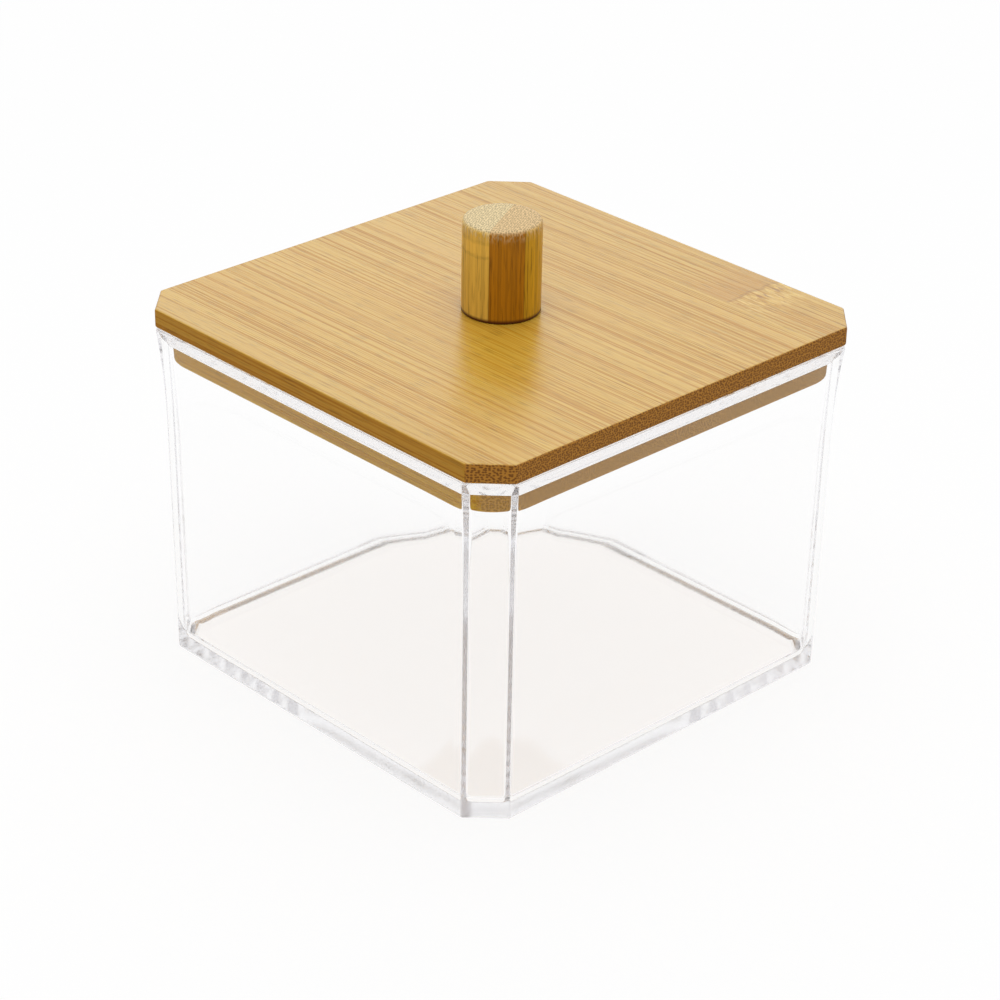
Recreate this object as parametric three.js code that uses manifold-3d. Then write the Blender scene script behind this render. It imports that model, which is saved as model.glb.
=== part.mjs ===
// A square clear tub with cut corners and a lift-off bamboo lid with a round knob.
// Millimetres, +Z up. The origin is the middle of the tub's underside, X and Y run along its sides.
import * as THREE from "three";
import { mergeVertices } from "three/addons/utils/BufferGeometryUtils.js";
import Module from "manifold-3d";

const wasm = await Module();
wasm.setup();

// Sizes shared by the tub and the lid
const corner_cut = 6.5; // leg of the 45 degree cut at each upright corner
const seat_gap = 0.3; // between a piece and the hole or recess that it sits in

// Tub: one moulding, its walls leaning out a little and flaring towards the rim
const tub_height = 71;
const tub_foot_side = 96.8; // over the flats, at the table
const wall_lean_degrees = 0.55;
const wall = 2.7;
const floor_thickness = 2.2;
const floor_fillet = 2.6; // where the floor meets the walls inside
const foot_round = 1.1; // outside, under the walls
const flare_height = 20.6; // top part of the wall that curves outwards
const flare_radius = 178;
const rim_round = 0.4;
const rim_land = 1.26; // flat on top of the rim that the lid rests on
const mouth_slope_depth = 3.1; // slope inside the rim that leads the lid in
const tub_upright_round = 0.5; // outside, on the eight upright edges
const cavity_upright_round = 0.8; // inside, on the same edges

// Lid: a top board and a smaller board under it that drops into the mouth
const lid_setback = 0.23; // lid's edge inside the rim's outer edge
const lid_thickness = 4;
const lid_top_round = 0.4;
const lid_under_round = 0.7;
const lid_upright_round = 0.7;
const plug_thickness = 7.1;
const plug_clearance = 0.6; // to the tub's inside, all round
const plug_under_round = 0.6;
const plug_top_round = 0.15; // the edge at the glue line
const plug_upright_round = 7.4;

// Knob: a turned dowel with a softened top edge
const knob_diameter = 15.4;
const knob_height = 18.9;
const knob_top_round = 1;
const knob_foot_round = 0.3;
const knob_crown = 3.2; // solid wood over the screw's hole

// Screw: up through both boards into the knob, its head sunk in the lower board
const screw_head_diameter = 7;
const screw_head_sink = 0.3; // head's face above the board's underside
const screw_head_rim = 0.4; // straight edge of the head
const screw_shank_diameter = 2.8;
const screw_core_diameter = 2.3;
const screw_thread_diameter = 3.5;
const screw_thread_pitch = 1.6;
const screw_thread_length = 14;
const screw_thread_width = 0.8; // at its root
const screw_thread_root_sink = 0.2; // root inside the core's surface
const screw_point_length = 3;
const screw_thread_stop_share = 0.5; // of the point's length that the thread runs over
const screw_recess_width = 1;
const screw_recess_length = 3.8;
const screw_recess_depth = 1.6;
const pilot_spare_depth = 1.5; // hole in the knob past the screw's point
const overrun = 0.5; // how far a cutting shape passes the face that it cuts

// Steps of the rounded edges and round pieces
const upright_steps = 4;
const edge_steps = 4;
const fillet_steps = 6;
const knob_round_steps = 8;
const flare_steps = 10;
const knob_sides = 64;
const bore_sides = 24;
const thread_steps_per_turn = 16;

const wall_lean = Math.tan(THREE.MathUtils.degToRad(wall_lean_degrees));
const cut_per_offset = 2 - Math.SQRT2; // the cut's leg grows by this for each length that all sides move out
const facet_tangent = Math.tan(Math.PI / 8); // a rounded edge's run along each face, as a share of its radius
const plug_foot_z = tub_height - plug_thickness;
const lid_top_z = tub_height + lid_thickness;
const knob_top_z = lid_top_z + knob_height;
const pilot_end_z = knob_top_z - knob_crown;
const screw_face_z = plug_foot_z + screw_head_sink;
const screw_tip_z = pilot_end_z - pilot_spare_depth;
const flare_top_z = tub_height - rim_round;
const rim_offset = flareOffset(flare_top_z);

// Points round a square with cut corners, each of its eight corners rounded.
function cutSquare(side, cut, round) {
  const half = side / 2;
  const radius = Math.min(round, cut / Math.SQRT2 / facet_tangent);
  const inner_run = half - cut - radius * facet_tangent;
  const eighth = Math.PI / 4;
  const first = new THREE.EllipseCurve(half - radius, inner_run, radius, radius, 0, eighth);
  const second = new THREE.EllipseCurve(inner_run, half - radius, radius, radius, eighth, 2 * eighth);
  const corner = [...first.getPoints(upright_steps), ...second.getPoints(upright_steps)];
  const middle = new THREE.Vector2();
  return [0, 1, 2, 3].flatMap((quarter) =>
    corner.map((point) => point.clone().rotateAround(middle, quarter * 2 * eighth)),
  );
}

// A closed skin through sections of one outline each, its first and last section filled in.
function loft(sections) {
  const rings = sections.map(({ side, cut, round }) => cutSquare(side, cut, round));
  const count = rings[0].length;
  const positions = rings.flatMap((ring, i) =>
    ring.flatMap((point) => [point.x, point.y, sections[i].height]),
  );
  const faces = [];
  for (let level = 0; level + 1 < rings.length; level++)
    for (let i = 0; i < count; i++) {
      const a = level * count + i;
      const b = level * count + ((i + 1) % count);
      faces.push(a, b, b + count, a, b + count, a + count);
    }
  const first_cap = THREE.ShapeUtils.triangulateShape(rings[0], []);
  const last_cap = THREE.ShapeUtils.triangulateShape(rings.at(-1), []);
  const last_start = (rings.length - 1) * count;
  first_cap.forEach(([a, b, c]) => faces.push(a, c, b));
  last_cap.forEach(([a, b, c]) => faces.push(last_start + a, last_start + b, last_start + c));
  const geometry = new THREE.BufferGeometry();
  geometry.setAttribute("position", new THREE.Float32BufferAttribute(positions, 3));
  geometry.setIndex(faces);
  return geometry;
}

// Heights and insets of a quarter round, from its flat face to its upright face.
function quarterRound(radius, steps) {
  return Array.from({ length: steps + 1 }, (_, i) => {
    const turn = ((i / steps) * Math.PI) / 2;
    return { rise: radius * (1 - Math.cos(turn)), inset: radius * (1 - Math.sin(turn)) };
  });
}

function solidOf(geometry) {
  const bare = geometry.clone();
  bare.deleteAttribute("normal");
  bare.deleteAttribute("uv");
  const merged = mergeVertices(bare);
  const vertProperties = merged.attributes.position.array;
  const triVerts = new Uint32Array(merged.index.array);
  return new wasm.Manifold(new wasm.Mesh({ numProp: 3, vertProperties, triVerts }));
}

function geometryOf(solid) {
  const made = solid.getMesh();
  const geometry = new THREE.BufferGeometry();
  geometry.setAttribute("position", new THREE.BufferAttribute(made.vertProperties, 3));
  geometry.setIndex(new THREE.BufferAttribute(made.triVerts, 1));
  geometry.computeVertexNormals();
  return geometry;
}

// A turned piece about Z from [radius, height] pairs that start and end on the axis.
function turned(profile, sides) {
  const points = profile.map(([radius, height]) => new THREE.Vector2(radius, height));
  return new THREE.LatheGeometry(points, sides).rotateX(Math.PI / 2);
}

// A section of the tub: offset is measured out from the straight outside of its leaning wall.
function tubSection(height, offset, round) {
  const side = tub_foot_side + 2 * height * wall_lean + 2 * offset;
  return { height, side, cut: corner_cut + cut_per_offset * offset, round };
}

function flareOffset(height) {
  const above = Math.max(0, height - (tub_height - flare_height));
  return flare_radius - Math.sqrt(flare_radius ** 2 - above ** 2);
}

function tubGeometry() {
  const foot = quarterRound(foot_round, edge_steps).map(({ rise, inset }) =>
    tubSection(rise, -inset, tub_upright_round),
  );
  const flare = Array.from({ length: flare_steps + 1 }, (_, i) => {
    const height = flare_top_z - (1 - i / flare_steps) * (flare_height - rim_round);
    return tubSection(height, flareOffset(height), tub_upright_round);
  });
  const rim = quarterRound(rim_round, edge_steps)
    .reverse()
    .slice(1)
    .map(({ rise, inset }) => tubSection(tub_height - rise, rim_offset - inset, tub_upright_round));
  const mouth = [
    tubSection(tub_height, rim_offset - rim_round - rim_land, cavity_upright_round),
    tubSection(tub_height - mouth_slope_depth, -wall, cavity_upright_round),
  ];
  const cavity_foot = quarterRound(floor_fillet, fillet_steps)
    .reverse()
    .map(({ rise, inset }) => tubSection(floor_thickness + rise, -wall - inset, cavity_upright_round));
  return loft([...foot, ...flare, ...rim, ...mouth, ...cavity_foot]);
}

// A board with rounded arrises: sides moved in by the inset, its upright edges kept.
function boardGeometry({ bottom, thickness, side, cut, round, under_round, top_round }) {
  const section = (height, inset) => ({
    height,
    side: side - 2 * inset,
    cut: cut - cut_per_offset * inset,
    round,
  });
  const under = quarterRound(under_round, edge_steps).map(({ rise, inset }) => section(bottom + rise, inset));
  const top = quarterRound(top_round, edge_steps)
    .reverse()
    .map(({ rise, inset }) => section(bottom + thickness - rise, inset));
  return loft([...under, ...top]);
}

// The hole that the screw passes through in both boards, from below the head to above the top board.
function screwPassage() {
  const head_radius = screw_head_diameter / 2 + seat_gap;
  const bore_radius = screw_thread_diameter / 2 + seat_gap;
  const cone_start = screw_face_z + screw_head_rim;
  const cone_end = cone_start + head_radius - bore_radius;
  const past_top = lid_top_z + overrun;
  return turned(
    [
      [0, plug_foot_z - overrun],
      [head_radius, plug_foot_z - overrun],
      [head_radius, cone_start],
      [bore_radius, cone_end],
      [bore_radius, past_top],
      [0, past_top],
    ],
    bore_sides,
  );
}

function lidPlateGeometry() {
  const board = boardGeometry({
    bottom: tub_height,
    thickness: lid_thickness,
    side: tubSection(flare_top_z, rim_offset - lid_setback, 0).side,
    cut: corner_cut,
    round: lid_upright_round,
    under_round: lid_under_round,
    top_round: lid_top_round,
  });
  return geometryOf(solidOf(board).subtract(solidOf(screwPassage())));
}

function lidPlugGeometry() {
  const fit = tubSection(plug_foot_z, -wall - plug_clearance, plug_upright_round);
  const board = boardGeometry({
    bottom: plug_foot_z,
    thickness: plug_thickness,
    side: fit.side,
    cut: fit.cut,
    round: fit.round,
    under_round: plug_under_round,
    top_round: plug_top_round,
  });
  return geometryOf(solidOf(board).subtract(solidOf(screwPassage())));
}

function knobGeometry() {
  const radius = knob_diameter / 2;
  const pilot_radius = screw_thread_diameter / 2 + seat_gap;
  const pilot = [
    [0, pilot_end_z],
    [pilot_radius, pilot_end_z - pilot_radius],
    [pilot_radius, lid_top_z],
  ];
  const foot = quarterRound(knob_foot_round, edge_steps).map(({ rise, inset }) => [
    radius - inset,
    lid_top_z + rise,
  ]);
  const top = quarterRound(knob_top_round, knob_round_steps)
    .reverse()
    .map(({ rise, inset }) => [radius - inset, knob_top_z - rise]);
  return turned([...pilot, ...foot, ...top, [0, knob_top_z]], knob_sides);
}

// A ridge that climbs round the screw's core and fades out at both ends.
function threadGeometry(start_z, end_z) {
  const turns = (end_z - start_z) / screw_thread_pitch;
  const steps = Math.ceil(turns * thread_steps_per_turn);
  const root = screw_core_diameter / 2 - screw_thread_root_sink;
  const crest = screw_thread_diameter / 2;
  const positions = [];
  const faces = [];
  for (let i = 0; i <= steps; i++) {
    const share = i / steps;
    const turn = share * turns * 2 * Math.PI;
    const fade = Math.min(1, share * turns, (1 - share) * turns);
    const reach = root + (crest - root) * fade;
    const z = start_z + share * (end_z - start_z);
    const half_width = screw_thread_width / 2;
    positions.push(root * Math.cos(turn), root * Math.sin(turn), z - half_width);
    positions.push(reach * Math.cos(turn), reach * Math.sin(turn), z);
    positions.push(root * Math.cos(turn), root * Math.sin(turn), z + half_width);
    if (i === steps) break;
    for (let side = 0; side < 3; side++) {
      const a = 3 * i + side;
      const b = 3 * i + ((side + 1) % 3);
      faces.push(a, a + 3, b + 3, a, b + 3, b);
    }
  }
  faces.push(0, 1, 2);
  faces.push(3 * steps, 3 * steps + 2, 3 * steps + 1);
  const geometry = new THREE.BufferGeometry();
  geometry.setAttribute("position", new THREE.Float32BufferAttribute(positions, 3));
  geometry.setIndex(faces);
  return geometry;
}

function screwGeometry() {
  const head_radius = screw_head_diameter / 2;
  const shank_radius = screw_shank_diameter / 2;
  const core_radius = screw_core_diameter / 2;
  const neck_z = screw_face_z + screw_head_rim + head_radius - shank_radius;
  const thread_start = screw_tip_z - screw_thread_length;
  const core = turned(
    [
      [0, screw_face_z],
      [head_radius, screw_face_z],
      [head_radius, screw_face_z + screw_head_rim],
      [shank_radius, neck_z],
      [shank_radius, thread_start],
      [core_radius, thread_start + shank_radius - core_radius],
      [core_radius, screw_tip_z - screw_point_length],
      [0, screw_tip_z],
    ],
    bore_sides,
  );
  const thread_end = screw_tip_z - screw_point_length * (1 - screw_thread_stop_share);
  const thread = threadGeometry(thread_start + screw_thread_pitch, thread_end);
  const bars = [0, Math.PI / 2].map((turn) =>
    new THREE.BoxGeometry(screw_recess_length, screw_recess_width, 2 * screw_recess_depth)
      .rotateZ(turn)
      .translate(0, 0, screw_face_z),
  );
  const recess = solidOf(bars[0]).add(solidOf(bars[1]));
  return geometryOf(solidOf(core).add(solidOf(thread)).subtract(recess));
}

const clear_plastic = new THREE.MeshStandardMaterial({
  color: 0xf2f1f6,
  roughness: 0.05,
  metalness: 0,
  transparent: true,
  opacity: 0.3,
});
const board_bamboo = new THREE.MeshStandardMaterial({ color: 0xe0bd84, roughness: 0.55, metalness: 0 });
const plug_bamboo = new THREE.MeshStandardMaterial({ color: 0xc39a5c, roughness: 0.6, metalness: 0 });
const knob_bamboo = new THREE.MeshStandardMaterial({ color: 0xc78b45, roughness: 0.5, metalness: 0 });
const screw_steel = new THREE.MeshStandardMaterial({ color: 0xb8bbc0, roughness: 0.35, metalness: 1 });

const lid = new THREE.Group();
const organizer = new THREE.Group();

function place(group, name, geometry, material) {
  const mesh = new THREE.Mesh(geometry, material);
  mesh.name = name;
  group.add(mesh);
}

place(organizer, "clear_tub", tubGeometry(), clear_plastic);
place(lid, "lid_board", lidPlateGeometry(), board_bamboo);
place(lid, "lid_plug_board", lidPlugGeometry(), plug_bamboo);
place(lid, "lid_knob", knobGeometry(), knob_bamboo);
place(lid, "knob_screw", screwGeometry(), screw_steel);
organizer.add(lid);

export default organizer;
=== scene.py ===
# %% [markdown]
# # A clear box with cut corners and a bamboo lid
# The real thing is a square tub of clear plastic, about 10 cm wide, with its four upright
# corners cut off at 45 degrees. A lid of two glued bamboo boards drops into its mouth, and a
# short bamboo dowel, held by one screw, is the knob. This file gives the finished CAD model
# its looks: finer meshes, four materials, a pale floor, lamps and the camera.

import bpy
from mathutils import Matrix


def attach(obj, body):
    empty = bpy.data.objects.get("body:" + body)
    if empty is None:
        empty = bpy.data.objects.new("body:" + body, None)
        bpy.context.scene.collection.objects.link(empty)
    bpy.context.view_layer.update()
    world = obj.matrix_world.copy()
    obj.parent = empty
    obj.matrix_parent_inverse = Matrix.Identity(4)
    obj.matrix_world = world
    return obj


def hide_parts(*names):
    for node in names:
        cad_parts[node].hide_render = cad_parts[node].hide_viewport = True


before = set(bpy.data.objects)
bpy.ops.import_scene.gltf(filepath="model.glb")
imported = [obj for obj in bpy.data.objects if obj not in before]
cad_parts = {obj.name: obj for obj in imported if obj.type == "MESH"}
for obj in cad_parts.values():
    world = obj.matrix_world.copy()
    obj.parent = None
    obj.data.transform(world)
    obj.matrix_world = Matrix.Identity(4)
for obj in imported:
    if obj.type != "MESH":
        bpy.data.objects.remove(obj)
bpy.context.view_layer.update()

# %% [markdown]
# Blender counts in metres and this object is small, so its sizes are written in millimetres
# and multiplied by `MM`. They are those of the CAD model. A few of them shape more than one
# piece, so they come first.

# %% Sizes shared by the pieces
from math import cos, pi, radians, sin, sqrt, tan

import bmesh
import bpy
from mathutils import Euler, Matrix, Vector

MM = 0.001
CORNER_CUT = 6.5 * MM
SEAT_GAP = 0.3 * MM
TUB_HEIGHT = 71 * MM
TUB_FOOT_SIDE = 96.8 * MM
WALL_LEAN = tan(radians(0.55))
WALL = 2.7 * MM
LID_THICKNESS = 4 * MM
PLUG_THICKNESS = 7.1 * MM
LID_TOP = TUB_HEIGHT + LID_THICKNESS
PLUG_FOOT = TUB_HEIGHT - PLUG_THICKNESS
KNOB_HEIGHT = 18.9 * MM
KNOB_TOP = LID_TOP + KNOB_HEIGHT
SCREW_THREAD_RADIUS = 3.5 / 2 * MM
SCREW_SUNK = 0.3 * MM
SCREW_FACE = PLUG_FOOT + SCREW_SUNK
WOOD_ABOVE_PILOT = 3.2 * MM
PILOT_END = KNOB_TOP - WOOD_ABOVE_PILOT
PILOT_SPARE = 1.5 * MM
SCREW_TIP = PILOT_END - PILOT_SPARE
print("Lid top at", round(LID_TOP / MM, 2), "mm, knob top at", round(KNOB_TOP / MM, 2), "mm")

# %% [markdown]
# ## Small helpers for node trees
# Shader trees and geometry trees are both built from code here. `put` adds one node and fills
# its inputs, either with a number or with a link from another node's output. `calc` is the
# same for the Math node, which both kinds of tree have, and `product` multiplies several
# values in a row.


# %% Helpers that add nodes
def put(tree, kind, inputs=None, **settings):
    """Adds a node, sets its options, and fills or links its inputs by name or number."""
    node = tree.nodes.new(kind)
    for name, value in settings.items():
        setattr(node, name, value)
    for key, value in (inputs or {}).items():
        if isinstance(value, bpy.types.NodeSocket):
            tree.links.new(value, node.inputs[key])
        else:
            node.inputs[key].default_value = value
    return node


def calc(tree, operation, *values):
    """One Math node: its values are numbers or links, and its result is a link."""
    numbered = dict(enumerate(values))
    return put(tree, "ShaderNodeMath", numbered, operation=operation).outputs[0]


def product(tree, first, *others):
    """Multiplies numbers or links, with one Math node for each that follows the first."""
    for other in others:
        first = calc(tree, "MULTIPLY", first, other)
    return first


def fit(tree, value, low, high, to_low=0.0, to_high=1.0):
    """A smooth step from to_low to to_high while the value goes from low to high."""
    inputs = {0: value, 1: low, 2: high, 3: to_low, 4: to_high}
    return put(tree, "ShaderNodeMapRange", inputs, interpolation_type="SMOOTHSTEP").outputs[0]


def blend_colour(tree, share, first, second, how="MIX"):
    """Mixes two colours, each one a link or a plain colour."""
    inputs = {0: share, 6: first, 7: second}
    return put(tree, "ShaderNodeMix", inputs, data_type="RGBA", blend_type=how).outputs[2]


def split(tree, vector):
    """The x, y and z of a vector."""
    return put(tree, "ShaderNodeSeparateXYZ", {0: vector}).outputs


def join(tree, x, y, z):
    """A vector from its x, y and z."""
    return put(tree, "ShaderNodeCombineXYZ", {0: x, 1: y, 2: z}).outputs[0]


def tree_socket(tree, name, kind, way="INPUT", default=None):
    """Adds a named input or output to a node tree."""
    socket = tree.interface.new_socket(name=name, in_out=way, socket_type=kind)
    if default is not None:
        socket.default_value = default


print("Helpers ready")

# %% [markdown]
# ## One tree for everything with cut corners
# The tub, the lid's top board and the lower board all have the same outline: a square whose
# corners are cut off, with each of the eight corners a little rounded. Only the section
# changes, so one Geometry Nodes tree can make all three. It takes two lines of points. The
# section says, point by point, how far the outline is moved outwards there, its height and
# the radius of its corners. The ring says where on the outline each of its points lies. Curve
# to Mesh lays the ring through every point of the section, and Set Position then moves each
# point to where the outline's formula puts it. Section points with a spread of 0 fall on the
# middle axis, which closes the shape.

# %% Build the sweep tree
SECTION = ("reach", "height", "corner", "spread", "bow")
RING = ("turn", "slide", "share", "nudge across", "nudge along", "mirrored", "quarter", "member")
EIGHTH = pi / 4
FACET_TANGENT = tan(EIGHTH / 2)
CUT_PER_REACH = 2 - sqrt(2)
MERGE_DISTANCE = 1e-6


def read_number(tree, name):
    """A number stored on the points, read inside a geometry tree."""
    node = put(tree, "GeometryNodeInputNamedAttribute", {"Name": name}, data_type="FLOAT")
    return node.outputs[0]


def outline_position(tree, side, lean, cut):
    """The place of a point from its numbers in the section and round the ring."""
    numbers = [read_number(tree, "section " + name) for name in SECTION]
    reach, height, corner, spread, bow = numbers
    numbers = [read_number(tree, "ring " + name) for name in RING[:-1]]
    turn, slide, share, nudge_across, nudge_along, mirrored, quarter = numbers
    half = calc(tree, "MULTIPLY_ADD", height, lean, calc(tree, "MULTIPLY_ADD", side, 0.5, reach))
    leg = calc(tree, "MULTIPLY_ADD", reach, CUT_PER_REACH, cut)
    widest = calc(tree, "DIVIDE", leg, sqrt(2) * FACET_TANGENT)
    radius = calc(tree, "MINIMUM", corner, widest)
    run = calc(tree, "MULTIPLY", radius, FACET_TANGENT)
    middle_x = calc(tree, "SUBTRACT", half, radius)
    middle_y = calc(tree, "SUBTRACT", calc(tree, "SUBTRACT", half, leg), run)
    flat_leg = calc(tree, "MULTIPLY_ADD", run, -sqrt(2), leg)
    step_in = calc(tree, "MULTIPLY", share, flat_leg)
    x = calc(tree, "MULTIPLY_ADD", radius, calc(tree, "COSINE", turn), middle_x)
    x = calc(tree, "SUBTRACT", x, step_in)
    x = calc(tree, "MULTIPLY_ADD", nudge_across, bow, x)
    y = calc(tree, "MULTIPLY_ADD", radius, calc(tree, "SINE", turn), middle_y)
    y = calc(tree, "ADD", y, calc(tree, "SUBTRACT", step_in, slide))
    y = calc(tree, "MULTIPLY_ADD", nudge_along, bow, y)
    swap = calc(tree, "MULTIPLY", mirrored, calc(tree, "SUBTRACT", y, x))
    across = calc(tree, "MULTIPLY", calc(tree, "ADD", x, swap), spread)
    along = calc(tree, "MULTIPLY", calc(tree, "SUBTRACT", y, swap), spread)
    place = join(tree, across, along, height)
    inputs = {"Vector": place, "Angle": calc(tree, "MULTIPLY", quarter, 2 * EIGHTH)}
    return put(tree, "ShaderNodeVectorRotate", inputs, rotation_type="Z_AXIS").outputs[0]


def forget(tree, geometry, pattern):
    """Drops the numbers whose names start in one way."""
    inputs = {"Geometry": geometry, "Name": pattern}
    return put(tree, "GeometryNodeRemoveAttribute", inputs, pattern_mode="WILDCARD").outputs[0]


def build_sweep_tree():
    """Parts the two lines, sweeps one along the other and puts each point in its place."""
    tree = bpy.data.node_groups.new("Cut square sweep", "GeometryNodeTree")
    tree_socket(tree, "Section and Ring", "NodeSocketGeometry")
    tree_socket(tree, "Side", "NodeSocketFloat", default=TUB_FOOT_SIDE)
    tree_socket(tree, "Lean", "NodeSocketFloat", default=0.0)
    tree_socket(tree, "Corner Cut", "NodeSocketFloat", default=CORNER_CUT)
    tree_socket(tree, "Material", "NodeSocketMaterial")
    tree_socket(tree, "Solid", "NodeSocketGeometry", "OUTPUT")
    given = put(tree, "NodeGroupInput").outputs
    member = calc(tree, "GREATER_THAN", read_number(tree, "ring member"), 0.5)
    inputs = {"Geometry": given["Section and Ring"], "Selection": member}
    apart = put(tree, "GeometryNodeSeparateGeometry", inputs, domain="POINT").outputs
    ring_only = forget(tree, apart["Selection"], "section *")
    ring = put(tree, "GeometryNodeMeshToCurve", {"Mesh": ring_only}).outputs[0]
    section_only = forget(tree, apart["Inverted"], "ring *")
    section = put(tree, "GeometryNodeMeshToCurve", {"Mesh": section_only}).outputs[0]
    swept = put(tree, "GeometryNodeCurveToMesh", {"Curve": ring, "Profile Curve": section})
    place = outline_position(tree, given["Side"], given["Lean"], given["Corner Cut"])
    inputs = {"Geometry": swept.outputs[0], "Position": place}
    shaped = put(tree, "GeometryNodeSetPosition", inputs).outputs[0]
    inputs = {"Geometry": shaped, "Distance": MERGE_DISTANCE}
    merged = put(tree, "GeometryNodeMergeByDistance", inputs).outputs[0]
    bare = forget(tree, forget(tree, merged, "section *"), "ring *")
    whole = put(tree, "GeometryNodeRealizeInstances", {"Geometry": bare}).outputs[0]
    inputs = {"Geometry": whole, "Material": given["Material"]}
    finished = put(tree, "GeometryNodeSetMaterial", inputs).outputs[0]
    put(tree, "NodeGroupOutput", {"Solid": finished})
    return tree


sweep_tree = build_sweep_tree()
print("Sweep tree:", len(sweep_tree.nodes), "nodes")

# %% [markdown]
# The tree sits in a Geometry Nodes modifier on an object whose mesh is two lines of points:
# first the section, then the ring. Where the ring's points lie there doesn't matter, because
# the tree moves them. Once it has run, `settle` keeps the result as the object's own mesh and
# drops the modifier, so that nothing is left to compute. A closed solid must have its faces
# outwards, and `face_outwards` turns them all if they came out the other way round.


# %% Helpers that turn a section into a piece
DOUBLE_DISTANCE = 1e-7
SHARP_ANGLE = radians(25)
STAND_IN_RADIUS = 10 * MM


def set_inputs(modifier, values):
    """Sets a Geometry Nodes modifier's inputs, found by name and set by identifier."""
    for item in modifier.node_group.interface.items_tree:
        if item.item_type == "SOCKET" and item.in_out == "INPUT" and item.name in values:
            modifier[item.identifier] = values[item.name]


def settle(piece):
    """Keeps the result of the modifiers as a plain mesh."""
    depsgraph = bpy.context.evaluated_depsgraph_get()
    evaluated = piece.evaluated_get(depsgraph)
    mesh = bpy.data.meshes.new_from_object(
        evaluated, preserve_all_data_layers=True, depsgraph=depsgraph
    )
    piece.modifiers.clear()
    piece.data = mesh
    mesh.name = piece.name


def face_outwards(mesh):
    """Merges double points and turns all faces outwards. Returns the volume in mm3."""
    work = bmesh.new()
    work.from_mesh(mesh)
    bmesh.ops.remove_doubles(work, verts=work.verts, dist=DOUBLE_DISTANCE)
    bmesh.ops.recalc_face_normals(work, faces=work.faces)
    if work.calc_volume(signed=True) < 0:
        bmesh.ops.reverse_faces(work, faces=work.faces)
    volume = work.calc_volume(signed=True)
    work.to_mesh(mesh)
    work.free()
    return volume / MM**3


def new_piece(name, mesh):
    """Adds an object to the scene at the origin."""
    piece = bpy.data.objects.new(name, mesh)
    bpy.context.scene.collection.objects.link(piece)
    return piece


def quarter_round(radius, steps):
    """Rise and inset along a quarter round, from its flat face to its upright face."""
    turns = [step / steps * pi / 2 for step in range(steps + 1)]
    return [(radius * (1 - cos(turn)), radius * (1 - sin(turn))) for turn in turns]


def smooth_rounds(piece):
    """Smooth shading that keeps the big faces flat and the sharp edges sharp."""
    mesh = piece.data
    mesh.shade_smooth()
    mesh.set_sharp_from_angle(angle=SHARP_ANGLE)
    modifier = piece.modifiers.new("even shading", "WEIGHTED_NORMAL")
    modifier.keep_sharp = True
    settle(piece)


def mark_faces(piece, name, axis, soft=(0.62, 0.8)):
    """Gives each face a number from 0 to 1: how squarely it faces along an axis."""
    mesh = piece.data
    values = mesh.attributes.new(name, "FLOAT", "FACE").data
    low, high = soft
    for face in mesh.polygons:
        share = (abs(face.normal[axis]) - low) / (high - low)
        values[face.index].value = min(1.0, max(0.0, share))


def plain_ring(steps):
    """Ring points for one half of a corner: its rounded edge only, in equal turns."""
    return [(EIGHTH * step / steps, 0, 0, 0, 0) for step in range(steps + 1)]


def whole_ring(half_corner):
    """All ring points, from one half of a corner by mirroring it and turning it round."""
    ring = []
    for quarter in range(4):
        ring += [(*point, 0, quarter, 1) for point in half_corner]
        ring += [(*point, 1, quarter, 1) for point in reversed(half_corner)]
    return ring


def store_numbers(mesh, kind, names, rows, first):
    """Stores each row's numbers on the mesh points from that index on."""
    for place, name in enumerate(names):
        values = mesh.attributes.new(f"{kind} {name}", "FLOAT", "POINT").data
        for i, row in enumerate(rows):
            values[first + i].value = row[place]


def sweep(name, section, half_corner, material, side, lean=0.0, cut=CORNER_CUT):
    """A solid from (reach, height, corner, spread, bow) points and a half corner's ring."""
    ring = whole_ring(half_corner)
    count = len(ring)
    start = len(section)
    turns = [2 * pi * i / count for i in range(count)]
    points = [(row[0], 0, row[1]) for row in section]
    points += [(STAND_IN_RADIUS * cos(turn), STAND_IN_RADIUS * sin(turn), 0) for turn in turns]
    links = [(i, i + 1) for i in range(start - 1)]
    links += [(start + i, start + (i + 1) % count) for i in range(count)]
    mesh = bpy.data.meshes.new(name + " lines")
    mesh.from_pydata(points, links, [])
    store_numbers(mesh, "section", SECTION, section, 0)
    store_numbers(mesh, "ring", RING, ring, start)
    piece = new_piece(name, mesh)
    modifier = piece.modifiers.new("sweep", "NODES")
    modifier.node_group = sweep_tree
    sizes = {"Side": side, "Lean": lean, "Corner Cut": cut}
    set_inputs(modifier, {**sizes, "Material": material})
    settle(piece)
    volume = face_outwards(piece.data)
    smooth_rounds(piece)
    print(name, len(piece.data.polygons), "faces,", round(volume), "mm3")
    return piece


print("Sweep ready")
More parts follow.
